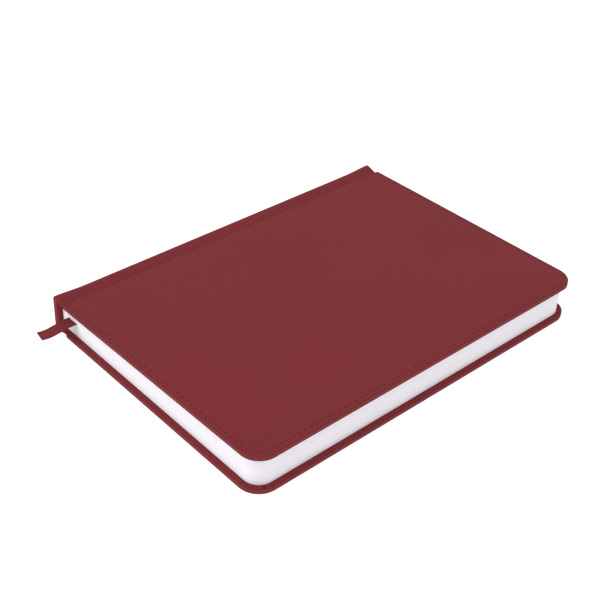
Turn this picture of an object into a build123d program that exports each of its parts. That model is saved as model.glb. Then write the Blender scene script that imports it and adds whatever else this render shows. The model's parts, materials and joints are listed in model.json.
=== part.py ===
from build123d import *
import os
from math import atan2, degrees, radians, tan

# Case-bound notebook lying closed on its back cover. Millimetres, +Z up.
# X runs from the spine to the fore-edge, Y from tail to head.
# The origin is under the middle of the closed case, on the surface it lies on.

# Case
case_width = 151.0  # spine to fore-edge
case_height = 211.0  # tail to head
cover_corner = 11.0  # plan radius of the two outer corners
edge_round = 0.6  # soft edge of the covers
skin = 0.6  # soft-touch covering
board = 1.7  # cover board
turn_in = 14.0  # width of covering glued to the board's inside
turn_in_depth = 0.5  # rebate in the board that the turn-in sits in
endpaper = 0.2
pastedown_inset = 3.6  # pastedown edge to cover edge

# Joint between spine and cover
spine_wall = 2.0  # skin and inlay together
ridge_rise = 0.2  # front ridge above the front cover
ridge_gap = 0.1  # running gap between spine and joint strips
crease_x = 8.5  # bottom of the groove, from the spine's outer face
strip_thick = 0.8
crease_clear = 0.1  # between the crease and the block
board_edge_x = 9.0  # hinge-side edge of the cover boards

# Book block
block_start = 2.8  # folds of the signatures, from the spine's outer face
square = 3.0  # cover edge beyond the block at head, tail and fore-edge
block_corner = 8.0
block_thick = 13.8  # at the spine
swell = 2.9  # extra thickness at the fore-edge
signatures = 11
fixed_signatures = 6  # they stay with the back cover
fold_round = 0.5
leaf_gap = 0.03  # between neighbours that turn
lining = 0.3  # cloth glued over the folds
lining_inset = 8.0  # lining end to block end

# Stitching round each cover, sunk flush in the skin
stitch_inset = 2.6
thread_wide = 0.6
thread_deep = 0.25

# Ribbon marker, between two signatures
ribbon_width = 7.0
ribbon_thick = 0.3
ribbon_under = 6  # signatures below the ribbon
ribbon_tail_x = 7.9  # spine-side edge of the ribbon where it leaves the block
ribbon_free = 17.5  # how far it reaches out of the block
ribbon_drop = 2.2  # its tip below its exit
ribbon_gap = 0.1  # between the held and the free length

x_spine = -case_width / 2
x_fore = case_width / 2
y_tail = -case_height / 2
y_head = case_height / 2
cover = skin + board + endpaper
crease_depth = cover - strip_thick - crease_clear  # groove below the cover's outer face
tilt = degrees(atan2(swell, case_width))
block_width = case_width - square - block_start
block_height = case_height - 2 * square
ridge_r = spine_wall / 2
plane_top = 2 * cover + block_thick  # front cover's outer face at the spine
back_axis = (x_spine + ridge_r, ridge_r)
front_axis = (x_spine + ridge_r, plane_top + ridge_rise - ridge_r)
big = 4 * max(case_width, case_height)


def save(solid, node):
    """Write one sub-part as parts/node.step."""
    solid.label = node
    export_step(solid, f"parts/{node}.step")


def prism(points, y0, y1):
    """A solid of a closed XZ outline between two heights of Y."""
    face = make_face(Polyline([(x, y0, z) for x, z in points], close=True))
    return extrude(face, y1 - y0, dir=(0, 1, 0))


def plan(x0, x1, y0, y1, radius, z0, z1):
    """A plate with its two fore-edge corners rounded."""
    plate = Pos((x0 + x1) / 2, (y0 + y1) / 2, (z0 + z1) / 2) * Box(x1 - x0, y1 - y0, z1 - z0)
    corners = plate.edges().filter_by(Axis.Z).group_by(Axis.X)[-1]
    return fillet(corners, radius)


def inset_plan(inset, x0, z0, z1):
    """A plate that follows the cover's outline at an inset, from x0 on."""
    radius = max(cover_corner - inset, 1.0)
    return plan(x0, x_fore - inset, y_tail + inset, y_head - inset, radius, z0, z1)


# Covers: made outer face down at z = 0, the way the back cover lies


def cover_board():
    """The board, with a rebate round three sides for the turn-in."""
    x0 = x_spine + board_edge_x + skin
    whole = inset_plan(skin, x0, skin, skin + board)
    ring = inset_plan(0, x0 - 1, skin + board - turn_in_depth, skin + board + 1)
    middle = inset_plan(turn_in, x0 - 2, 0, cover + 2)
    return whole - (ring - middle)


def stitch_line(width, depth):
    """The seam's band on the outer face: tail, fore-edge and head."""
    x0 = x_spine + board_edge_x + edge_round
    outer = inset_plan(stitch_inset - width / 2, x0, 0, depth)
    inner = inset_plan(stitch_inset + width / 2, x0 - 1, -1, depth + 1)
    return outer - inner


def cover_skin():
    """Covering wrapped over the board's outer face and four edges, turned in on three."""
    x0 = x_spine + board_edge_x
    body = inset_plan(0, x0, 0, skin + board)
    lower = body.edges().group_by(Axis.Z)[0]
    body = fillet(lower, edge_round)
    upper = [e for e in body.edges().group_by(Axis.Z)[-1] if e.center().X > x0 + 0.01]
    body = fillet(upper, edge_round / 2)
    opening = inset_plan(turn_in, x0 + skin, skin, cover + 1)
    return body - cover_board() - opening - stitch_line(thread_wide, thread_deep)


def pastedown():
    """Endpaper glued over the board and the turn-in."""
    x0 = x_spine + board_edge_x + edge_round
    return inset_plan(pastedown_inset, x0, skin + board, cover)


def strip(rise):
    """The flexible joint, from the spine's ridge down into the crease."""
    x0 = x_spine + spine_wall + ridge_gap
    x1 = x_spine + crease_x
    x2 = x_spine + board_edge_x
    top = [(x0, -rise), (x1, crease_depth), (x2, crease_depth)]
    under = [(x, z + strip_thick) for x, z in reversed(top)]
    return prism(top + under, y_tail, y_head)


def to_front(piece):
    """Turn a cover piece over and seat it on the block, at the swell's tilt."""
    over = mirror(piece, Plane.XY)
    seated = Pos(-x_spine, 0, 0) * over
    return Pos(x_spine, 0, plane_top) * Rot(0, -tilt, 0) * seated


def cover_pieces():
    """Board, skin, stitching and pastedown, outer face down."""
    return {
        "cover_board": cover_board(),
        "cover_skin": cover_skin(),
        "cover_stitching": stitch_line(thread_wide, thread_deep),
        "pastedown": pastedown(),
    }


# Spine


def spine_outline(length):
    """A wall with both long edges fully rounded, about the two hinge axes."""
    x_mid, z_low = back_axis
    z_high = front_axis[1]
    centre = Pos(x_mid, 0, (z_low + z_high) / 2)
    wall = centre * Box(spine_wall, length, z_high - z_low)
    for z in (z_low, z_high):
        wall += Pos(x_mid, 0, z) * Rot(90, 0, 0) * Cylinder(ridge_r, length)
    return wall


def spine_inlay():
    """Stiff strip inside the spine, open towards the block."""
    z0 = back_axis[1] + skin
    z1 = front_axis[1] - skin
    thick = spine_wall - skin
    middle = Pos(x_spine + skin + thick / 2, 0, (z0 + z1) / 2)
    return middle * Box(thick, case_height - 2 * skin, z1 - z0)


# Book block


def layer_z(x, share):
    """Height of a page surface at x; share 0 is the lowest, 1 the highest."""
    run = x - x_spine
    height = block_thick + run * tan(radians(tilt)) - 2 * endpaper
    return cover + endpaper + share * height


def slab(z_low, z_high, round_fold):
    """Leaves between two page surfaces, cut to the trimmed block."""
    x0 = x_spine + block_start
    x1 = x0 + block_width
    outline = [(x0, z_low(x0)), (x1, z_low(x1)), (x1, z_high(x1)), (x0, z_high(x0))]
    wedge = prism(outline, y_tail + square, y_head - square)
    if round_fold:
        wedge = fillet(wedge.edges().filter_by(Axis.Y).group_by(Axis.X)[0], round_fold)
    y0 = y_tail + square
    return wedge & plan(x0, x1, y0, y0 + block_height, block_corner, 0, big)


def signature(index):
    """One sewn gathering, counted from the back cover."""
    low = (index - 1) / signatures
    high = index / signatures
    free = index > fixed_signatures
    gap = leaf_gap if free else 0.0
    return slab(lambda x: layer_z(x, low) + gap, lambda x: layer_z(x, high), fold_round)


def flyleaf(front):
    """The free half of an endpaper."""
    if front:
        low = lambda x: layer_z(x, 1) + leaf_gap
        high = lambda x: layer_z(x, 1) + endpaper - leaf_gap
    else:
        low = lambda x: cover
        high = lambda x: cover + endpaper
    return slab(low, high, 0)


def spine_lining(first, last):
    """Cloth glued over the folds of the signatures first to last."""
    x1 = x_spine + block_start
    z0 = layer_z(x1, (first - 1) / signatures) + fold_round
    z1 = layer_z(x1, last / signatures) - fold_round
    middle = Pos(x1 - lining / 2, 0, (z0 + z1) / 2)
    return middle * Box(lining, block_height - 2 * lining_inset, z1 - z0)


# Ribbon


def ribbon_held():
    """The length pressed between two signatures, slanting to the fold at the head."""
    share = ribbon_under / signatures
    y0 = y_tail + square
    y1 = y_head - square
    tail_x = x_spine + ribbon_tail_x
    head_x = x_spine + block_start + fold_round
    corners = [(tail_x, y0), (tail_x + ribbon_width, y0), (head_x + ribbon_width, y1), (head_x, y1)]
    column = extrude(make_face(Polyline([(x, y, 0) for x, y in corners], close=True)), big)
    x0 = x_spine + block_start
    x1 = x0 + block_width
    top = [(x0, layer_z(x0, share)), (x1, layer_z(x1, share))]
    under = [(x, z - ribbon_thick) for x, z in reversed(top)]
    return column & prism(top + under, y0, y1)


def ribbon_tail():
    """The free end, dipping a little on its way out, cut straight."""
    x0 = x_spine + ribbon_tail_x
    z0 = layer_z(x0, ribbon_under / signatures) - ribbon_thick / 2
    y0 = y_tail + square - ribbon_gap
    steps = [(0, 0), (0.28, 0.02), (0.62, -0.72), (1, -1)]
    route = [(x0, y0 - ribbon_free * s, z0 + ribbon_drop * d) for s, d in steps]
    path = FilletPolyline(*route, radius=4.0)
    section = Plane(origin=path @ 0, z_dir=path % 0, x_dir=(1, 0, 0))
    profile = section * Pos(ribbon_width / 2, 0, 0) * Rectangle(ribbon_width, ribbon_thick)
    return sweep(profile, path)


def build():
    os.makedirs("parts", exist_ok=True)
    for name, piece in cover_pieces().items():
        save(piece, f"back_{name}")
        save(to_front(piece), f"front_{name}")
    save(strip(0.0), "back_joint_strip")
    save(to_front(strip(ridge_rise)), "front_joint_strip")
    inlay = spine_inlay()
    save(inlay, "spine_inlay")
    save(spine_outline(case_height) - inlay, "spine_skin")
    save(flyleaf(False), "back_flyleaf")
    save(flyleaf(True), "front_flyleaf")
    held = ribbon_held()
    save(held, "ribbon_held")
    save(ribbon_tail(), "ribbon_tail")
    for index in range(1, signatures + 1):
        leaves = signature(index)
        if index == ribbon_under:
            leaves = leaves - held
        save(leaves, f"signature_{index:02d}")
    save(spine_lining(1, fixed_signatures), "rear_spine_lining")
    save(spine_lining(signatures - 1, signatures), "front_spine_lining")


build()
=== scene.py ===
"""The looks of a case-bound notebook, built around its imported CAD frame. Metres, +Z up."""

import json
import math
import random

import bpy
from mathutils import Matrix, Vector


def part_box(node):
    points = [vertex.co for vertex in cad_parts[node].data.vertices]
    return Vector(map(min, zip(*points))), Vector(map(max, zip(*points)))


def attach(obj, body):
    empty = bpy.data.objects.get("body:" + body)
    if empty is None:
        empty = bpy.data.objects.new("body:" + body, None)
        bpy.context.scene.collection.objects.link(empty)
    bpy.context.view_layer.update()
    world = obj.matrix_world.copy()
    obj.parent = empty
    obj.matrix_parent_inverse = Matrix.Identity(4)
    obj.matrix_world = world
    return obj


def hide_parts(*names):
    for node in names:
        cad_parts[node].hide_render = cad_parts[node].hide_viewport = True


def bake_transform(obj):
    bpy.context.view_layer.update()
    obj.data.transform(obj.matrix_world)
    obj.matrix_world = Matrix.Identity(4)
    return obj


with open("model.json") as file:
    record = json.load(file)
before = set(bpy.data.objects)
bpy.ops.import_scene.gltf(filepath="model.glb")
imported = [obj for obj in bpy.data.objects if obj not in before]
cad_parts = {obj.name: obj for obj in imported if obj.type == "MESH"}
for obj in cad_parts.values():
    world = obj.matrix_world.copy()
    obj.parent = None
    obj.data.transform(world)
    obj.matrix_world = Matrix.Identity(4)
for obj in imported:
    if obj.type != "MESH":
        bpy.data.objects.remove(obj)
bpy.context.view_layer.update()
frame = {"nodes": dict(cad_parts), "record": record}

MM = 0.001

# ---------------------------------------------------------------- sizes from the frame


def box(node):
    """Lowest and highest corner of a CAD node."""
    low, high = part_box(node)
    return Vector(low), Vector(high)


skin_lo, skin_hi = box("back_cover_skin")
spine_lo, spine_hi = box("spine_skin")
paste_lo, paste_hi = box("back_pastedown")
front_paste_lo, front_paste_hi = box("front_pastedown")
front_hi = box("front_cover_skin")[1]
first_lo, first_hi = box("signature_01")
held_lo, held_hi = box("ribbon_held")
tail_lo = box("ribbon_tail")[0]

EDGE_ROUND = 0.6 * MM  # the rounding of the CAD covers' edges
X_SPINE = spine_lo.x
X_EDGE = skin_lo.x  # hinge-side edge of the cover boards
X_FORE = skin_hi.x
Y_TAIL = skin_lo.y
Y_HEAD = skin_hi.y
Z_PASTE = paste_lo.z
COVER = paste_hi.z
PAPER = paste_hi.z - paste_lo.z
RIDGE = (spine_hi.x - spine_lo.x) / 2
TILT = math.asin((front_paste_hi.z - front_paste_lo.z - PAPER) / (paste_hi.x - paste_lo.x))
PLANE_TOP = front_hi.z - (X_FORE - X_SPINE - EDGE_ROUND) * math.sin(TILT)
PLANE_TOP_RISE = spine_hi.z - PLANE_TOP
BLOCK_AT_SPINE = PLANE_TOP - 2 * COVER - 2 * PAPER
Z_AXIS_FRONT = spine_hi.z - RIDGE
Z_MID = (RIDGE + Z_AXIS_FRONT) / 2

rng = random.Random(7)

# ---------------------------------------------------------------- material helpers


def new_material(name, roughness, **sockets):
    """A principled material; the sockets are set directly."""
    mat = bpy.data.materials.new(name)
    mat.use_nodes = True
    shader = mat.node_tree.nodes["Principled BSDF"]
    shader.inputs["Roughness"].default_value = roughness
    for key, value in sockets.items():
        shader.inputs[key.replace("_", " ")].default_value = value
    return mat, mat.node_tree, shader


def add(tree, kind, **values):
    """A node with some of its properties or inputs set."""
    node = tree.nodes.new(kind)
    for key, value in values.items():
        if hasattr(node, key):
            setattr(node, key, value)
        else:
            node.inputs[key.replace("_", " ")].default_value = value
    return node


def math_node(tree, operation, a, b):
    """A maths node of two sockets or numbers."""
    node = tree.nodes.new("ShaderNodeMath")
    node.operation = operation
    for slot, value in zip(node.inputs, (a, b)):
        if isinstance(value, (int, float)):
            slot.default_value = value
        else:
            tree.links.new(value, slot)
    return node.outputs[0]


def place(tree):
    """The piece's own coordinates, in metres."""
    return tree.nodes.new("ShaderNodeTexCoord").outputs["Object"]


def mark(tree, name):
    """A mesh attribute, 0 to 1."""
    return add(tree, "ShaderNodeAttribute", attribute_name=name).outputs["Fac"]


def noise(tree, vector, scale, detail, roughness=0.5):
    """Cloudy noise, 0 to 1."""
    node = add(tree, "ShaderNodeTexNoise", Scale=scale, Detail=detail, Roughness=roughness)
    tree.links.new(vector, node.inputs["Vector"])
    return node.outputs["Fac"]


def ribs(tree, vector, direction, scale, distortion, **values):
    """Parallel ribs, 0 to 1."""
    node = add(tree, "ShaderNodeTexWave", wave_type="BANDS", bands_direction=direction, Scale=scale,
               Distortion=distortion, **values)
    tree.links.new(vector, node.inputs["Vector"])
    return node.outputs["Fac"]


def ramp(tree, value, stops):
    """A colour ramp over (position, colour) stops."""
    node = tree.nodes.new("ShaderNodeValToRGB")
    for element, (position, colour) in zip(node.color_ramp.elements, stops):
        element.position = position
        element.color = (*colour, 1)
    tree.links.new(value, node.inputs["Fac"])
    return node.outputs["Color"]


def mix(tree, factor, a, b, kind="MIX"):
    """A colour mix; a and b are sockets or colours."""
    node = tree.nodes.new("ShaderNodeMix")
    node.data_type = "RGBA"
    node.blend_type = kind
    for slot, value in ((node.inputs[0], factor), (node.inputs[6], a), (node.inputs[7], b)):
        if isinstance(value, (int, float)):
            slot.default_value = value
        elif isinstance(value, tuple):
            slot.default_value = (*value, 1)
        else:
            tree.links.new(value, slot)
    return node.outputs[2]


def bump(tree, shader, height, strength, distance, normal=None):
    """Relief on the shader, over an earlier bump's normal where one is given."""
    node = add(tree, "ShaderNodeBump", Strength=strength, Distance=distance)
    tree.links.new(height, node.inputs["Height"])
    if normal is not None:
        tree.links.new(normal, node.inputs["Normal"])
    tree.links.new(node.outputs["Normal"], shader.inputs["Normal"])
    return node.outputs["Normal"]


def paint(obj, mat):
    """Give an object one material."""
    obj.data.materials.clear()
    obj.data.materials.append(mat)


# ---------------------------------------------------------------- materials

BURGUNDY = (0.196, 0.0235, 0.0290)
BURGUNDY_DARK = (0.165, 0.0190, 0.0240)
# Lighter tone: real wear on the joints, painted light on the turn-in
BURGUNDY_WEAR_AND_PAINTED_LIGHT = (0.225, 0.0310, 0.0380)
# Colour of the painted shade
BURGUNDY_SHADOW = (0.034, 0.0050, 0.0065)
THREAD_DARK = (0.175, 0.0205, 0.0255)
THREAD_LIGHT = (0.205, 0.025, 0.031)
RIBBON_LIGHT = (0.215, 0.0225, 0.0290)
RIBBON_DARK = (0.165, 0.0155, 0.0195)
PAPER_WHITE = (0.856, 0.840, 0.875)
PAPER_SHADE = (0.821, 0.802, 0.841)
PAPER_BAND = (0.98, 0.975, 0.98)
ENDPAPER_LIGHT = (0.81, 0.805, 0.80)
ENDPAPER_DARK = (0.77, 0.765, 0.755)


def soft_touch():
    """Matt coated imitation leather: fine pebble, slow mottling, real wear on the joints, painted
    light on the turn-in and painted shade in holes, pleats, creases and rims.
    """
    mat, tree, shader = new_material("soft_touch", 0.6, Specular_IOR_Level=0.12)
    at = place(tree)
    slow = noise(tree, at, 28, 4)
    colour = ramp(tree, slow, [(0.3, BURGUNDY_DARK), (0.62, BURGUNDY)])
    colour = mix(tree, 0.55, colour, BURGUNDY)
    # Lighter in patches: real wear on the joints' ridges and ends, painted light on the cover's
    # turn-in
    wear_and_painted_light = math_node(tree, "MULTIPLY", mark(tree, "wear_and_painted_light"), noise(tree, at, 240, 3))
    colour = mix(tree, wear_and_painted_light, colour, BURGUNDY_WEAR_AND_PAINTED_LIGHT)
    # Painted shade: darker in the needle holes, pleats, the joints' crease, along the rims and the
    # hinge edge
    colour = mix(tree, mark(tree, "dark"), colour, BURGUNDY_SHADOW)
    tree.links.new(colour, shader.inputs["Base Color"])
    rough = math_node(tree, "MULTIPLY_ADD", slow, 0.14)
    rough.node.inputs[2].default_value = 0.56
    tree.links.new(rough, shader.inputs["Roughness"])
    pebble = add(tree, "ShaderNodeTexVoronoi", feature="SMOOTH_F1", Scale=2600, Smoothness=0.6)
    tree.links.new(at, pebble.inputs["Vector"])
    first = bump(tree, shader, pebble.outputs["Distance"], 0.16, 0.06 * MM)
    bump(tree, shader, noise(tree, at, 900, 5, 0.6), 0.10, 0.1 * MM, first)
    return mat


def thread_material():
    """Twisted polyester, a shade darker than the covering."""
    mat, tree, shader = new_material("thread", 0.7, Specular_IOR_Level=0.15)
    twist = ribs(tree, place(tree), "DIAGONAL", 900, 1.5)
    colour = ramp(tree, twist, [(0.1, THREAD_DARK), (0.8, THREAD_LIGHT)])
    tree.links.new(colour, shader.inputs["Base Color"])
    bump(tree, shader, twist, 0.5, 0.08 * MM)
    return mat


def page_share(tree, split):
    """How high a point lies in the block, 0 to 1, following the wedge between the covers."""
    run = math_node(tree, "SUBTRACT", split.outputs["X"], X_SPINE)
    height = math_node(tree, "MULTIPLY", run, math.tan(TILT))
    height = math_node(tree, "ADD", height, BLOCK_AT_SPINE)
    rise = math_node(tree, "SUBTRACT", split.outputs["Z"], COVER + PAPER)
    return math_node(tree, "DIVIDE", rise, height)


def sheet_noise(tree, split, share, along, through, roughness):
    """Noise drawn out along the sheets; along and through are its scales."""
    space = tree.nodes.new("ShaderNodeCombineXYZ")
    tree.links.new(math_node(tree, "MULTIPLY", split.outputs["X"], along), space.inputs[0])
    tree.links.new(math_node(tree, "MULTIPLY", split.outputs["Y"], along), space.inputs[1])
    tree.links.new(math_node(tree, "MULTIPLY", share, through), space.inputs[2])
    return noise(tree, space.outputs[0], 1.0, 2, roughness)


def page_edges():
    """Uncoated leaves: fine grey lines of painted shade between sheets on the cut edges, paper tooth
    on the faces.
    """
    mat, tree, shader = new_material("page_edges", 0.9, Specular_IOR_Level=0.2)
    at = place(tree)
    split = tree.nodes.new("ShaderNodeSeparateXYZ")
    tree.links.new(at, split.inputs["Vector"])
    share = page_share(tree, split)
    sheets = sheet_noise(tree, split, share, 6, 165, 0.7)
    bands = sheet_noise(tree, split, share, 3, 22, 0.5)
    # Painted shade: grey lines between the sheets
    colour = ramp(tree, sheets, [(0.30, PAPER_SHADE), (0.52, PAPER_WHITE)])
    tone = ramp(tree, bands, [(0.3, PAPER_BAND), (0.6, (1, 1, 1))])
    colour = mix(tree, 1.0, colour, tone, "MULTIPLY")
    tree.links.new(colour, shader.inputs["Base Color"])
    first = bump(tree, shader, sheets, 0.35, 0.04 * MM)
    bump(tree, shader, noise(tree, at, 1500, 4, 0.6), 0.15, 0.05 * MM, first)
    return mat


def endpaper_material():
    """Smooth heavier paper with a faint cloudy formation."""
    mat, tree, shader = new_material("endpaper", 0.82, Specular_IOR_Level=0.25)
    at = place(tree)
    colour = ramp(tree, noise(tree, at, 180, 4), [(0.3, ENDPAPER_DARK), (0.7, ENDPAPER_LIGHT)])
    tree.links.new(colour, shader.inputs["Base Color"])
    bump(tree, shader, noise(tree, at, 1400, 4, 0.6), 0.12, 0.05 * MM)
    return mat


def board_material(name, light, dark):
    """Grey or brown board with flecks of fibre."""
    mat, tree, shader = new_material(name, 0.92, Specular_IOR_Level=0.15)
    fleck = noise(tree, place(tree), 700, 6, 0.7)
    colour = ramp(tree, fleck, [(0.35, dark), (0.6, light)])
    tree.links.new(colour, shader.inputs["Base Color"])
    bump(tree, shader, fleck, 0.4, 0.1 * MM)
    return mat


def weave_material(name, light, dark, across, along, sheen):
    """Two crossed sets of ribs, scaled across the piece in X and along it in Y."""
    mat, tree, shader = new_material(name, 0.62, Sheen_Weight=sheen, Sheen_Roughness=0.35,
                                     Specular_IOR_Level=0.2)
    at = place(tree)
    weft = ribs(tree, at, "Y", along, 0.6, Detail_Scale=2.0)
    warp = ribs(tree, at, "X", across, 0.4)
    height = math_node(tree, "MULTIPLY", weft, warp)
    height = math_node(tree, "ADD", height, weft)
    colour = ramp(tree, height, [(0.1, dark), (0.9, light)])
    soft = math_node(tree, "MULTIPLY", noise(tree, at, 300, 3), 0.4)
    colour = mix(tree, soft, colour, dark)
    tree.links.new(colour, shader.inputs["Base Color"])
    bump(tree, shader, height, 0.45, 0.08 * MM)
    return mat


SOFT_TOUCH = soft_touch()
THREAD_MAT = thread_material()
PAGES = page_edges()
ENDPAPER = endpaper_material()
GREYBOARD = board_material("greyboard", (0.36, 0.33, 0.29), (0.22, 0.20, 0.18))
KRAFT = board_material("kraft_inlay", (0.42, 0.30, 0.19), (0.30, 0.21, 0.13))
MULL = weave_material("mull", (0.78, 0.75, 0.68), (0.55, 0.52, 0.46), 700, 700, 0.1)
RIBBON = weave_material("ribbon_satin", RIBBON_LIGHT, RIBBON_DARK, 1500, 1300, 0.04)

# ---------------------------------------------------------------- mesh helpers

SHARP_ANGLE = math.radians(50)


def make_mesh(name, verts, faces, mat, marks=None, smooth=True):
    """A mesh object; marks are float attributes on its points."""
    mesh = bpy.data.meshes.new(name)
    mesh.from_pydata([tuple(v) for v in verts], [], faces)
    mesh.update()
    for key, values in (marks or {}).items():
        layer = mesh.attributes.new(key, "FLOAT", "POINT")
        layer.data.foreach_set("value", values)
    if smooth:
        mesh.polygons.foreach_set("use_smooth", [True] * len(mesh.polygons))
        mesh.set_sharp_from_angle(angle=SHARP_ANGLE)
    obj = bpy.data.objects.new(name, mesh)
    bpy.context.scene.collection.objects.link(obj)
    paint(obj, mat)
    return obj


def loft(rings):
    """Points and faces over closed rings of equal length, with flat caps."""
    count = len(rings[0])
    verts = [p for ring in rings for p in ring]
    faces = []
    for r in range(len(rings) - 1):
        a = r * count
        b = a + count
        for i in range(count):
            j = (i + 1) % count
            faces.append((a + i, a + j, b + j, b + i))
    last = (len(rings) - 1) * count
    faces.append(tuple(reversed(range(count))))
    faces.append(tuple(range(last, last + count)))
    return verts, faces


def flip(faces):
    """The same faces, looking the other way."""
    return [tuple(reversed(face)) for face in faces]


def smoothstep(t):
    """0 below 0, 1 above 1, and a smooth rise between."""
    t = min(1.0, max(0.0, t))
    return t * t * (3 - 2 * t)


def bell(distance, width):
    """1 at no distance, falling smoothly to nothing."""
    return math.exp(-((distance / width) ** 2))


def between(a, b, t):
    """The point a share t of the way from a to b."""
    return tuple(p + (q - p) * t for p, q in zip(a, b))


def line(a, b, steps):
    """Even points from a to b, without b."""
    return [between(a, b, i / steps) for i in range(steps)]


def arc(centre, rx, ry, start, steps):
    """Points of a quarter turn from the angle start, without its end."""
    turns = [start + math.pi / 2 * i / steps for i in range(steps)]
    return [(centre[0] + rx * math.cos(a), centre[1] + ry * math.sin(a)) for a in turns]


def to_front(point):
    """Turn a point of the back cover over, onto the front cover's place and tilt."""
    x = point[0] - X_SPINE
    z = -point[2]
    c = math.cos(TILT)
    s = math.sin(TILT)
    return (X_SPINE + x * c - z * s, point[1], PLANE_TOP + x * s + z * c)


def seat(verts, faces, front):
    """A cover piece as made, or turned over for the front."""
    if not front:
        return verts, faces
    return [to_front(v) for v in verts], flip(faces)


# ---------------------------------------------------------------- cover outline

COVER_CORNER = 11.0 * MM
HINGE_CORNER = 0.8 * MM
HINGE_CORNER_LEAST = 0.25 * MM
HINGE_LAP = 0.45 * MM  # covering over the board's hinge-side edge

STEPS = 8  # mesh steps to a stitch
ARC_STEPS = STEPS * 5
END_STEPS = STEPS * 39
FORE_STEPS = STEPS * 57
HINGE_STEPS = 48
SMALL_ARC = 5
SEAM_STEPS = 2 * END_STEPS + 2 * ARC_STEPS + FORE_STEPS  # tail, fore-edge and head
HINGE_SIDE = SEAM_STEPS + SMALL_ARC
OUTLINE_POINTS = HINGE_SIDE + HINGE_STEPS + SMALL_ARC
CORNERS = (
    (END_STEPS, END_STEPS + ARC_STEPS),
    (END_STEPS + ARC_STEPS + FORE_STEPS, END_STEPS + 2 * ARC_STEPS + FORE_STEPS),
)


def cover_outline(in_x, in_y, in_hinge):
    """The cover's outline at an inset, always with as many points and from the same corner."""
    cx = X_FORE - COVER_CORNER
    cy = Y_HEAD - COVER_CORNER
    rx = COVER_CORNER - in_x
    ry = COVER_CORNER - in_y
    r = max(HINGE_CORNER - in_hinge, HINGE_CORNER_LEAST)
    x0 = X_EDGE - HINGE_LAP + in_hinge + r
    y1 = Y_HEAD - in_y
    points = line((x0, -y1), (cx, -y1), END_STEPS)
    points += arc((cx, -cy), rx, ry, -math.pi / 2, ARC_STEPS)
    points += line((cx + rx, -cy), (cx + rx, cy), FORE_STEPS)
    points += arc((cx, cy), rx, ry, 0, ARC_STEPS)
    points += line((cx, y1), (x0, y1), END_STEPS)
    points += arc((x0, y1 - r), r, r, math.pi / 2, SMALL_ARC)
    points += line((x0 - r, y1 - r), (x0 - r, r - y1), HINGE_STEPS)
    points += arc((x0, r - y1), r, r, math.pi, SMALL_ARC)
    return points


# ---------------------------------------------------------------- rim and turn-in

RIM_ROUND = 0.35 * MM  # outer rim, a little sharper than the CAD's
INNER_RIM_ROUND = 0.3 * MM
RIM_STEPS = 5
INNER_RIM_STEPS = 4
HINGE_SHARE = 0.12  # share of a ring's inset by which it moves in at the hinge side
TURN_IN_INSETS = (9.0, 4.6, 3.4, 2.6, 1.9, 1.3, 0.9)  # mm, rings over the board's inner face
# Painted light: the turn-in is painted lighter, in patches, against the shade it lies in next to the
# block
TURN_IN_PAINTED_LIGHT = 0.9
RIM_FOOT = 0.9 * MM  # the rim is plain below this height
RIM_BLEND = 1.2 * MM
# Painted shade on the outer rim, and a stronger line of it on the hinge edge above the crease
RIM_SHADE = 0.13
HINGE_SHADE = 0.5

LIP = 0.15 * MM  # the turn-in stands above the board
LIP_END = 3.6 * MM
LIP_FADE = 0.9 * MM
GATHER = 0.30 * MM  # and a little more where it is gathered round a corner
GATHER_END = 1.9 * MM
GATHER_FADE = 1.0 * MM
GATHER_POWER = 0.7  # below 1, so the gathering is already high near the corner's ends

FOLDS_AT = (0.04, 0.24, 0.40, 0.52, 0.68, 0.76, 0.95)  # shares of a corner
FOLD_END = 4.5 * MM
FOLD_START = 0.8 * MM
FOLD_DEPTH = 0.26 * MM
# Painted shade in the pleats
FOLD_SHADE = 0.85


def fold_seeds():
    """A few uneven folds at each outer corner: place, width and depth, in steps of the outline."""
    seeds = []
    for start, end in CORNERS:
        for share in FOLDS_AT:
            at = start + (end - start) * (share + rng.uniform(-0.03, 0.03))
            seeds.append((at, rng.uniform(0.45, 0.8), rng.uniform(0.6, 1.0)))
    return seeds


def fold_depth(index, seeds):
    """Depth of the gathered folds where the turn-in goes round a corner, 0 to 1."""
    return max(deep * bell(index - at, width) for at, width, deep in seeds)


def lip_height(index, inset):
    """How far the turn-in stands above the board at a point of the outline."""
    if index > SEAM_STEPS:
        return 0.0
    height = LIP * (1 - smoothstep((inset - LIP_END) / LIP_FADE))
    for start, end in CORNERS:
        if start < index < end:
            gathered = math.sin(math.pi * (index - start) / (end - start)) ** GATHER_POWER
            height += GATHER * gathered * (1 - smoothstep((inset - GATHER_END) / GATHER_FADE))
    return height


def turn_in_profile():
    """(inset, height above the outer face) from the inner face round the rim to the panel."""
    profile = [(inset * MM, Z_PASTE) for inset in TURN_IN_INSETS]
    for k in range(1, INNER_RIM_STEPS + 1):
        a = math.pi / 2 * k / INNER_RIM_STEPS
        r = INNER_RIM_ROUND
        profile.append((r * (1 - math.sin(a)), Z_PASTE - r * (1 - math.cos(a))))
    for k in range(RIM_STEPS + 1):
        a = math.pi / 2 * k / RIM_STEPS
        profile.append((RIM_ROUND * (1 - math.cos(a)), RIM_ROUND * (1 - math.sin(a))))
    return profile


def turn_in_point(index, inset, height, seeds):
    """Height of a point of the turn-in or rim, and how much painted shade it gets."""
    lift = 0.0
    dark = 0.0
    if height > RIM_FOOT:
        lift = lip_height(index, inset) * smoothstep((height - RIM_FOOT) / RIM_BLEND)
        if inset < FOLD_END:
            fold = fold_depth(index, seeds) * smoothstep(inset / FOLD_START)
            lift -= FOLD_DEPTH * fold
            # Painted shade in the pleats
            dark = FOLD_SHADE * fold
    # Painted shade on the rim, stronger on the hinge side
    if inset <= RIM_ROUND:
        dark = max(dark, HINGE_SHADE if index > HINGE_SIDE else RIM_SHADE)
    return height + lift, dark


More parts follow.
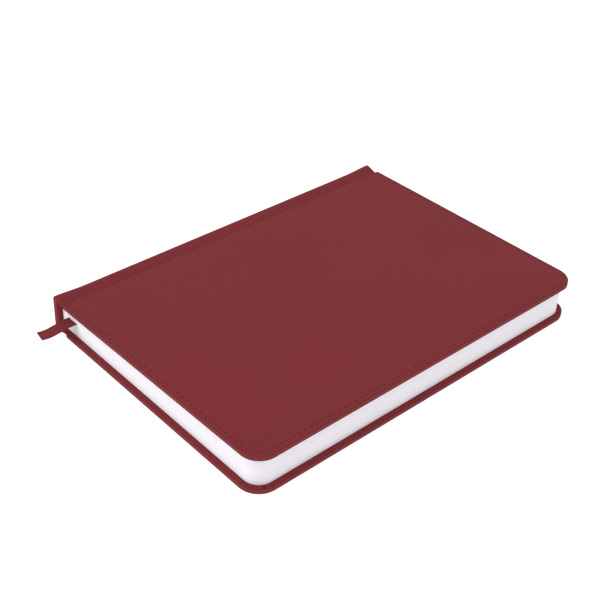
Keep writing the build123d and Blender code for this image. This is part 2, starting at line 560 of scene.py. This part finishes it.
def turn_in_rings():
    """Rings of (x, y, z, painted shade) over the inner face and round the rim."""
    seeds = fold_seeds()
    rings = []
    for inset, height in turn_in_profile():
        in_hinge = min(inset, RIM_ROUND + HINGE_SHARE * (inset - RIM_ROUND))
        ring = []
        for i, (x, y) in enumerate(cover_outline(inset, inset, in_hinge)):
            ring.append((x, y, *turn_in_point(i, inset, height, seeds)))
        rings.append(ring)
    return rings


# ---------------------------------------------------------------- seam and panel

STITCH_FORE = 2.75 * MM  # seam to fore-edge
STITCH_END = 2.5 * MM  # seam to head and tail
SEAM_OFFSETS = (-0.75, -0.5, -0.32, -0.16, 0, 0.16, 0.32, 0.55, 1.0)  # mm, rings across the seam
VALLEY = 0.025 * MM
VALLEY_WIDTH = 0.42 * MM
HOLE_DEPTH = 0.22 * MM
HOLE_WIDTH = 0.34 * MM
# Painted shade in the needle holes
HOLE_SHADE = 1.15
SEAM_HINGE_FROM = 0.8 * MM  # the seam's rings spread less at the hinge side, from here out
SEAM_HINGE_SHARE = 0.3
PANEL_INSETS = (6.0, 10.0)  # mm
PANEL_HINGE = 0.5 * MM
THREAD = 0.10 * MM  # radius
THREAD_SIDES = 8
THREAD_SUNK = VALLEY + 0.06 * MM
THREAD_GAP = 0.17 * MM  # from a needle hole's middle to the thread
# (share of the thread's length, share of its radius, radii sunk)
THREAD_RINGS = (
    (0, 0.35, 0.9),
    (0.08, 0.8, 0.35),
    (0.25, 1, 0),
    (0.75, 1, 0),
    (0.92, 0.8, 0.35),
    (1, 0.35, 0.9),
)


def seam_rings():
    """Rings of (x, y, z, painted shade) across the seam: a shallow valley, pinched at the needle
    holes, with painted shade in the holes.
    """
    rings = []
    for offset in SEAM_OFFSETS:
        off = offset * MM
        in_hinge = RIM_ROUND + SEAM_HINGE_SHARE * (SEAM_HINGE_FROM + off)
        ring = []
        for i, (x, y) in enumerate(cover_outline(STITCH_FORE + off, STITCH_END + off, in_hinge)):
            sewn = i <= SEAM_STEPS
            pinch = sewn * bell(i % STEPS - STEPS / 2, 1.0) * bell(off, HOLE_WIDTH)
            z = sewn * VALLEY * bell(off, VALLEY_WIDTH) + HOLE_DEPTH * pinch
            ring.append((x, y, z, min(1.0, HOLE_SHADE * pinch)))
        rings.append(ring)
    return rings


def panel_rings():
    """Rings of (x, y, z, dark) over the flat of the cover."""
    rings = []
    for inset in PANEL_INSETS:
        in_hinge = RIM_ROUND + HINGE_SHARE * (inset * MM - RIM_ROUND) + PANEL_HINGE
        outline = cover_outline(inset * MM, inset * MM, in_hinge)
        rings.append([(x, y, 0.0, 0.0) for x, y in outline])
    return rings


def cover_shell(side, front):
    """The covering of one board: soft rims, sunk seam with needle holes, pleated turn-in; painted
    shade on the rims, the hinge edge, the pleats and in the holes, painted light on the turn-in.
    """
    points, faces = loft(turn_in_rings() + seam_rings() + panel_rings())
    dark = [point[3] for point in points]
    # Painted light on the turn-in's rings only
    painted_light_points = len(TURN_IN_INSETS) * OUTLINE_POINTS
    wear_and_painted_light = [TURN_IN_PAINTED_LIGHT] * painted_light_points + [0.0] * (len(points) - painted_light_points)
    verts, faces = seat([point[:3] for point in points], flip(faces), front)
    shell = make_mesh(f"{side}_cover_covering", verts, faces, SOFT_TOUCH, {"wear_and_painted_light": wear_and_painted_light, "dark": dark})
    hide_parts(f"{side}_cover_skin")
    return shell


def thread(a, b):
    """A short thread that dives at both ends."""
    up = Vector((0, 0, 1))
    across = (b - a).cross(up).normalized()
    rings = []
    for share, thick, sunk in THREAD_RINGS:
        centre = a.lerp(b, share) + up * (sunk * THREAD)
        ring = []
        for i in range(THREAD_SIDES):
            angle = 2 * math.pi * i / THREAD_SIDES
            spoke = across * math.cos(angle) + up * math.sin(angle)
            ring.append(centre + spoke * THREAD * thick)
        rings.append(ring)
    return loft(rings)


def stitching(side, front):
    """One thread for each stitch of the seam."""
    seam = cover_outline(STITCH_FORE, STITCH_END, EDGE_ROUND)
    holes = [Vector((*seam[i], THREAD_SUNK)) for i in range(STEPS // 2, SEAM_STEPS, STEPS)]
    verts = []
    faces = []
    for a, b in zip(holes, holes[1:]):
        gap = (b - a).normalized() * THREAD_GAP
        base = len(verts)
        more_verts, more_faces = thread(a + gap, b - gap)
        verts += more_verts
        faces += [tuple(base + i for i in face) for face in more_faces]
    verts, faces = seat(verts, faces, front)
    stitches = make_mesh(f"{side}_cover_stitches", verts, faces, THREAD_MAT)
    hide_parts(f"{side}_cover_stitching")
    return stitches


# ---------------------------------------------------------------- spine and joints

SKIN = 0.6 * MM
STRIP_THICK = 0.8 * MM
CREASE_X = X_SPINE + 8.5 * MM
CREASE_DEPTH = COVER - STRIP_THICK - 0.1 * MM
RIDGE_INSIDE = 0.6  # how far down the inner face goes round the ridge, as a share of its radius

# Points of the joint's section: half the spine's wall, its ridge, the slope, the tuck
RIDGE_FIRST = 7
RIDGE_STEPS = 10
SLOPE_FIRST = RIDGE_FIRST + RIDGE_STEPS + 1
SLOPE_STEPS = 12
SLOPE_LAST = SLOPE_FIRST + SLOPE_STEPS - 1
CREASE_FIRST = 28
TUCK_STEPS = 3
HOLES_AT = (20, 26)

JOINT_STEPS = 60
JOINT_END = 6  # mm of closer rows at each end
SEAM_ROW = STITCH_END / MM
# (mm from the covering's end, how far its two faces are drawn together)
JOINT_ENDS = (
    (0.0, 0.75),
    (0.06, 0.42),
    (0.18, 0.18),
    (0.4, 0.0),
    (1.2, 0.0),
    (SEAM_ROW - 0.3, 0.0),
    (SEAM_ROW, 0.0),
    (SEAM_ROW + 0.3, 0.0),
    (SEAM_ROW + 0.8, 0.0),
    (JOINT_END, 0.0),
)
JOINT_SAG = 0.05 * MM
JOINT_SEAM = 0.12 * MM
JOINT_SEAM_WIDTH = 0.35 * MM
JOINT_SEAM_ROW = 0.05 * MM  # a row this near the seam has its needle holes
JOINT_WEAR = 0.5
# Painted shade along the bottom of the crease
CREASE_SHADE = 0.5
END_LENGTH = 18 * MM  # the covering is doubled at the spine's ends and stands out there
END_SPREAD = 0.35 * MM
END_RISE = 0.60 * MM
END_ROUND = 0.25 * MM
END_ROUND_LENGTH = 0.9 * MM
END_WEAR_LENGTH = 0.3 * MM
UPRIGHT_FADE = 1.5 * MM  # beyond the ridge, from the spine's upright wall to the tilted cover
# Points of the section over which the slope's sag and the ridge's flare come and go
SAG_IN = 4
SAG_OUT = 3
FLARE_IN = 5
FLARE_OUT = 6


def joint_section(rise):
    """Outer and inner lines of the covering from mid-spine round the ridge into the crease.

    Drawn for the back: the outer face is down and the ridge's axis is RIDGE above it, less rise.
    """
    axis_z = RIDGE - rise
    middle = Z_MID if rise == 0 else PLANE_TOP - Z_MID
    outer = line((X_SPINE, middle), (X_SPINE, axis_z), RIDGE_FIRST)
    inner = [(x + SKIN, z) for x, z in outer]
    for i in range(RIDGE_STEPS + 1):
        a = math.pi / 2 * i / RIDGE_STEPS
        r = RIDGE - SKIN
        outer.append((X_SPINE + RIDGE - RIDGE * math.cos(a), axis_z - RIDGE * math.sin(a)))
        inner.append((X_SPINE + RIDGE - r * math.cos(a), axis_z - r * math.sin(a) * RIDGE_INSIDE))
    x0 = X_SPINE + RIDGE
    z0 = axis_z - RIDGE
    for i in range(1, SLOPE_STEPS + 1):
        t = i / SLOPE_STEPS
        ease = 0.75 * t + 0.25 * smoothstep(t)
        x = x0 + (CREASE_X - x0) * t
        z = z0 + (CREASE_DEPTH - z0) * ease
        outer.append((x, z))
        inner.append((x, z + SKIN + (STRIP_THICK - SKIN) * t))
    for i in range(1, TUCK_STEPS + 1):
        x = CREASE_X + (X_EDGE + EDGE_ROUND - CREASE_X) * i / TUCK_STEPS
        outer.append((x, CREASE_DEPTH))
        inner.append((x, CREASE_DEPTH + STRIP_THICK))
    return outer, inner


def joint_rows():
    """(y, how far the two faces are drawn together) from tail to head."""
    long = Y_HEAD - Y_TAIL - 2 * JOINT_END * MM
    rows = [(Y_TAIL + y * MM, closed) for y, closed in JOINT_ENDS]
    rows += [(Y_TAIL + JOINT_END * MM + long * i / JOINT_STEPS, 0.0) for i in range(1, JOINT_STEPS)]
    rows += [(Y_HEAD - y * MM, closed) for y, closed in reversed(JOINT_ENDS)]
    return rows


def joint_shift(i, edge, wave, front):
    """How a point of the outer face moves in x and z: sag, sunk seam, flared end of the ridge."""
    on_slope = smoothstep((i - SLOPE_FIRST) / SAG_IN) * (1 - smoothstep((i - SLOPE_LAST) / SAG_OUT))
    on_ridge = 1 - smoothstep((i - SLOPE_FIRST) / FLARE_OUT)
    sag = JOINT_SAG * on_slope * (0.5 + 0.5 * wave * (edge > JOINT_END * MM))
    sunk = JOINT_SEAM * bell(edge - STITCH_END, JOINT_SEAM_WIDTH) * (i >= SLOPE_FIRST)
    doubled = 1 - smoothstep(edge / END_LENGTH)
    drop = END_ROUND * (1 - smoothstep(edge / END_ROUND_LENGTH)) - END_RISE * doubled * front
    drop *= smoothstep((i - RIDGE_FIRST) / FLARE_IN) * on_ridge
    return -END_SPREAD * doubled * on_ridge, sag + sunk + drop


def joint_marks(edge, count):
    """Wear and painted shade of one row's outer and inner points: real wear on the ridge and the ends,
    painted shade in the crease and the needle holes.
    """
    sewn = abs(edge - STITCH_END) < JOINT_SEAM_ROW
    at_end = edge < END_WEAR_LENGTH
    wear_and_painted_light = []
    dark = []
    for i in range(count):
        wear_and_painted_light.append(JOINT_WEAR if at_end or RIDGE_FIRST < i <= SLOPE_FIRST else 0.0)
        # Painted shade in the crease and at the needle holes of the seam's row
        crease = CREASE_SHADE if i >= CREASE_FIRST else 0.0
        dark.append(max(crease, float(sewn and i in HOLES_AT)))
    return wear_and_painted_light + [0.0] * count, dark + [0.0] * count


def seat_joint(verts, faces, front):
    """As for a cover, but the spine's own wall stays upright at the ridge."""
    if not front:
        return verts, faces
    moved = []
    for x, y, z in verts:
        upright = (x, y, PLANE_TOP - z)
        share = smoothstep((x - X_SPINE - RIDGE) / UPRIGHT_FADE)
        moved.append(between(upright, to_front((x, y, z)), share))
    return moved, flip(faces)


def joint_covering(side, front):
    """The covering over one ridge and joint, with its ends turned in."""
    outer, inner = joint_section(PLANE_TOP_RISE if front else 0.0)
    rows = joint_rows()
    waves = [rng.uniform(-1, 1) for _ in rows]
    rings = []
    wear_and_painted_light = []
    dark = []
    for wave, (y, closed) in zip(waves, rows):
        edge = min(y - Y_TAIL, Y_HEAD - y)
        out_line = []
        in_line = []
        for i, (out_point, in_point) in enumerate(zip(outer, inner)):
            x, z = between(out_point, in_point, closed / 2)
            dx, dz = joint_shift(i, edge, wave, front)
            out_line.append((x + dx, y, z + dz))
            x, z = between(in_point, out_point, closed / 2)
            in_line.append((x, y, z))
        rings.append(out_line + in_line[::-1])
        row_worn, row_dark = joint_marks(edge, len(outer))
        wear_and_painted_light += row_worn
        dark += row_dark
    verts, faces = loft(rings)
    verts, faces = seat_joint(verts, flip(faces), front)
    piece = make_mesh(f"{side}_joint_covering", verts, faces, SOFT_TOUCH, {"wear_and_painted_light": wear_and_painted_light, "dark": dark})
    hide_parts(f"{side}_joint_strip", "spine_skin")
    return piece


FLAP_THICK = 0.42 * MM
FLAP_OVERLAP = 0.2 * MM  # past the ridges' axes, under the joint coverings
FLAP_ROOT = 0.9 * SKIN


def spine_turn_in(name, y_end, inward):
    """Covering folded over the end of the spine's inlay and onto its inside."""
    inside = X_SPINE + 2 * RIDGE
    top = inside + FLAP_THICK
    root = X_SPINE + FLAP_ROOT
    # (x, mm in from the spine's end)
    section = [
        (root, 0.03),
        (inside - 0.25 * MM, 0.03),
        (inside, 0.12),
        (top - 0.05 * MM, 0.36),
        (top, 0.62),
        (top, 12.6),
        (top - 0.25 * MM, 13.0),
        (inside, 13.0),
        (inside, 0.6),
        (root, 0.6),
    ]
    rings = []
    for z in (RIDGE - FLAP_OVERLAP, Z_MID, Z_AXIS_FRONT + FLAP_OVERLAP):
        rings.append([(x, y_end + inward * y * MM, z) for x, y in section])
    verts, faces = loft(rings)
    if inward < 0:
        faces = flip(faces)
    piece = make_mesh(name, verts, faces, SOFT_TOUCH)
    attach(piece, "spine")
    return piece


# ---------------------------------------------------------------- leaves

BLOCK_CORNER = 8.0 * MM
BLOCK_ARC_STEPS = 12
BLOCK_END_STEPS = 4
BLOCK_FORE_STEPS = 8
BLOCK_FOLD_STEPS = 10
SIGNATURES = 11
FIXED_SIGNATURES = 6
LEAF_GAP = 0.03 * MM
LEAVES = 14  # sheets that show on a signature's cut edges
FOLD_ROUND = 0.5 * MM
UNEVEN = 0.03  # mm, how far a sheet's cut edge may stand back
SHEET_EDGE = ((0.04, 0.035), (0.22, 0.0), (0.78, 0.0), (0.96, 0.035))  # (share of a sheet, mm in)


def layer_z(x, share):
    """Height of a page surface at x, a share of the way up the block."""
    height = BLOCK_AT_SPINE + (x - X_SPINE) * math.tan(TILT)
    return COVER + PAPER + share * height


def leaf_outline(x0, shift):
    """A trimmed leaf's outline from its fold at x0, moved in by shift at the cut edges."""
    x1 = first_hi.x - shift
    y0 = first_lo.y + shift
    y1 = first_hi.y - shift
    r = BLOCK_CORNER
    points = line((x0, y0), (x1 - r, y0), BLOCK_END_STEPS)
    points += arc((x1 - r, y0 + r), r, r, -math.pi / 2, BLOCK_ARC_STEPS)
    points += line((x1, y0 + r), (x1, y1 - r), BLOCK_FORE_STEPS)
    points += arc((x1 - r, y1 - r), r, r, 0, BLOCK_ARC_STEPS)
    points += line((x1 - r, y1), (x0, y1), BLOCK_END_STEPS)
    points += line((x0, y1), (x0, y0), BLOCK_FOLD_STEPS)
    return points


def signature_shares():
    """(share of a signature's thickness, mm in from its cut edges) for every ring."""
    rings = []
    for leaf in range(LEAVES):
        uneven = rng.uniform(0.0, UNEVEN)
        rings += [((leaf + part) / LEAVES, uneven + groove) for part, groove in SHEET_EDGE]
    rings[0] = (0.0, rings[0][1])
    rings[-1] = (1.0, rings[-1][1])
    return rings


def signature(index):
    """A gathering with each sheet's edge modelled, slightly uneven, and a groove between sheets."""
    low = (index - 1) / SIGNATURES
    lift = LEAF_GAP if index > FIXED_SIGNATURES else 0.0
    rings = []
    for t, inset in signature_shares():
        bend = FOLD_ROUND * (1 - math.sqrt(max(0.0, 1 - (2 * t - 1) ** 2)))
        outline = leaf_outline(first_lo.x + bend, inset * MM)
        share = low + t / SIGNATURES
        rings.append([(x, y, layer_z(x, share) + lift * (1 - t)) for x, y in outline])
    verts, faces = loft(rings)
    piece = make_mesh(f"signature_{index:02d}_sheets", verts, faces, PAGES, smooth=False)
    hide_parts(f"signature_{index:02d}")
    return piece


def body_of_signature(index):
    """The body that carries a signature, from the record."""
    node = f"signature_{index:02d}"
    bodies = frame["record"]["behaviour"]["bodies"]
    return next(name for name, nodes in bodies.items() if node in nodes)


# ---------------------------------------------------------------- ribbon

RIBBON_WIDTH = 7.0 * MM
RIBBON_THICK = 0.26 * MM
RIBBON_SUNK = 0.06 * MM  # middle of the ribbon below the page it lies on
RIBBON_UNDER = 6  # signatures under the ribbon
RIBBON_CUP = 0.10 * MM  # the free end is hollow across, growing to this
RIBBON_CUP_LENGTH = 8 * MM
HELD_SHARES = (0.0, 0.3, 0.65, 0.985)  # of the length inside the block
# (share of the free length, mm sideways, mm up)
FREE_POINTS = (
    (0.02, 0, 0.0),
    (0.22, -0.05, 0.08),
    (0.46, -0.35, -0.85),
    (0.72, -0.95, -2.0),
    (0.88, -1.4, -2.15),
    (1.0, -1.75, -1.95),
)
# (share of the half width, share of the half thickness) from the selvedge to the middle
SELVEDGE = ((1.0, 0.0), (0.99, 1.0), (0.90, 1.05), (0.84, 0.7))
RIBBON_MIDDLE = 0.72


def ribbon_route():
    """The marker's middle line: from its glued head, pressed in the block, then free."""
    x_tail = tail_lo.x + RIBBON_WIDTH / 2
    x_head = held_lo.x + RIBBON_WIDTH / 2
    share = RIBBON_UNDER / SIGNATURES
    route = []
    for t in HELD_SHARES:
        x = x_head + (x_tail - x_head) * t
        y = held_hi.y + (held_lo.y - held_hi.y) * t
        route.append((x, y, layer_z(x, share) - RIBBON_SUNK))
    z_exit = layer_z(x_tail, share) - RIBBON_SUNK
    free = held_lo.y - tail_lo.y
    for t, side, up in FREE_POINTS:
        route.append((x_tail + side * MM, held_lo.y - free * t, z_exit + up * MM))
    return route


def smooth_line(route):
    """The points of a smooth spline with the route as its control points."""
    data = bpy.data.curves.new("route", "CURVE")
    data.dimensions = "3D"
    spline = data.splines.new("NURBS")
    spline.points.add(len(route) - 1)
    for point, at in zip(spline.points, route):
        point.co = (*at, 1)
    spline.order_u = 3
    spline.use_endpoint_u = True
    spline.resolution_u = 16
    holder = bpy.data.objects.new("route", data)
    mesh = bpy.data.meshes.new_from_object(holder)
    points = [v.co.copy() for v in mesh.vertices]
    bpy.data.meshes.remove(mesh)
    bpy.data.objects.remove(holder)
    bpy.data.curves.remove(data)
    return points


def ribbon_section():
    """The ribbon's flat section with thicker selvedges, as shares of its half width and thickness."""
    mirrored = [(-a, b) for a, b in reversed(SELVEDGE[1:])]
    top = [*SELVEDGE, (0.0, RIBBON_MIDDLE), *mirrored]
    return [(-a, -b) for a, b in top] + top


def ribbon():
    """A flat woven ribbon, cut straight at its end."""
    route = smooth_line(ribbon_route())
    section = ribbon_section()
    rings = []
    for i, at in enumerate(route):
        ahead = route[min(i + 1, len(route) - 1)] - route[max(i - 1, 0)]
        across = ahead.cross(Vector((0, 0, 1))).normalized()
        up = across.cross(ahead).normalized()
        cup = RIBBON_CUP * smoothstep((held_lo.y - at.y) / RIBBON_CUP_LENGTH)
        ring = []
        for a, b in section:
            lift = b * RIBBON_THICK / 2 - cup * (1 - a**2)
            ring.append(at + across * (a * RIBBON_WIDTH / 2) + up * lift)
        rings.append(ring)
    verts, faces = loft(rings)
    piece = make_mesh("ribbon_marker", verts, faces, RIBBON)
    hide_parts("ribbon_held", "ribbon_tail")
    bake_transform(piece)
    return piece


# ---------------------------------------------------------------- the object

SIDES = (("back", False, "back_half"), ("front", True, "front_cover"))

for side, front, body in SIDES:
    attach(cover_shell(side, front), body)
    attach(stitching(side, front), body)
for side, front, body in SIDES:
    piece = joint_covering(side, front)
    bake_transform(piece)
spine_turn_in("spine_turn_in_tail", Y_TAIL, 1)
spine_turn_in("spine_turn_in_head", Y_HEAD, -1)
for number in range(1, SIGNATURES + 1):
    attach(signature(number), body_of_signature(number))
ribbon()

CAD_FINISH = {
    "back_cover_board": GREYBOARD,
    "front_cover_board": GREYBOARD,
    "spine_inlay": KRAFT,
    "back_pastedown": ENDPAPER,
    "front_pastedown": ENDPAPER,
    "back_flyleaf": ENDPAPER,
    "front_flyleaf": ENDPAPER,
    "rear_spine_lining": MULL,
    "front_spine_lining": MULL,
}
for node, mat in CAD_FINISH.items():
    paint(frame["nodes"][node], mat)

# ---------------------------------------------------------------- floor, light, camera

FLOOR_HALF = 60.0
FLOOR_DROP = 0.1 * MM
FLOOR_GREY = 0.62
FLOOR_GLOW = 0.75
WORLD_LIGHT = 0.90
HORIZON = 1.05  # the world's strength as the camera sees it
KEY_AT = Vector((-0.6, -1.3, 1.3))
KEY_SIZE = 1.0
KEY_POWER = 8
# Camera fitted to the edges and corners of the closed book in the photograph
CAMERA_AT = Vector((0.333603, -0.332600, 0.352758))
CAMERA_TO = Vector((-0.004281, -0.006266, 0.010))
CAMERA_ROLL = 3.392
CAMERA_LENS = 69.163


def floor():
    """A plain white floor that glows a little, so that it stays white to the horizon."""
    mesh = bpy.data.meshes.new("floor")
    half = FLOOR_HALF
    corners = [(-half, -half, 0), (half, -half, 0), (half, half, 0), (-half, half, 0)]
    mesh.from_pydata(corners, [], [(0, 1, 2, 3)])
    obj = bpy.data.objects.new("floor", mesh)
    bpy.context.scene.collection.objects.link(obj)
    obj.location.z = -FLOOR_DROP
    mat, _, shader = new_material("floor", 0.9, Specular_IOR_Level=0.0)
    shader.inputs["Base Color"].default_value = (FLOOR_GREY, FLOOR_GREY, FLOOR_GREY, 1)
    shader.inputs["Emission Color"].default_value = (1, 1, 1, 1)
    shader.inputs["Emission Strength"].default_value = FLOOR_GLOW
    paint(obj, mat)


def surroundings():
    """A white world: the horizon is as white as the floor, its light on the object a little weaker."""
    world = bpy.data.worlds.new("studio")
    world.use_nodes = True
    tree = world.node_tree
    background = tree.nodes["Background"]
    background.inputs["Color"].default_value = (1, 1, 1, 1)
    seen = tree.nodes.new("ShaderNodeLightPath").outputs["Is Camera Ray"]
    strength = add(tree, "ShaderNodeMapRange", To_Min=WORLD_LIGHT, To_Max=HORIZON)
    tree.links.new(seen, strength.inputs["Value"])
    tree.links.new(strength.outputs["Result"], background.inputs["Strength"])
    bpy.context.scene.world = world


def key_light():
    """One large soft key from the tail side."""
    data = bpy.data.lights.new("key", "AREA")
    data.shape = "SQUARE"
    data.size = KEY_SIZE
    data.energy = KEY_POWER
    obj = bpy.data.objects.new("key", data)
    obj.location = KEY_AT
    obj.rotation_euler = (-KEY_AT).to_track_quat("-Z", "Y").to_euler()
    bpy.context.scene.collection.objects.link(obj)


def camera():
    """The photograph's viewing angle."""
    data = bpy.data.cameras.new("camera")
    data.lens = CAMERA_LENS
    data.sensor_width = 36
    obj = bpy.data.objects.new("camera", data)
    turn = (CAMERA_TO - CAMERA_AT).to_track_quat("-Z", "Y").to_matrix().to_4x4()
    roll = Matrix.Rotation(math.radians(CAMERA_ROLL), 4, "Z")
    obj.matrix_world = Matrix.Translation(CAMERA_AT) @ turn @ roll
    bpy.context.scene.collection.objects.link(obj)
    bpy.context.scene.camera = obj


floor()
surroundings()
key_light()
camera()
bpy.context.scene.view_settings.view_transform = "Standard"
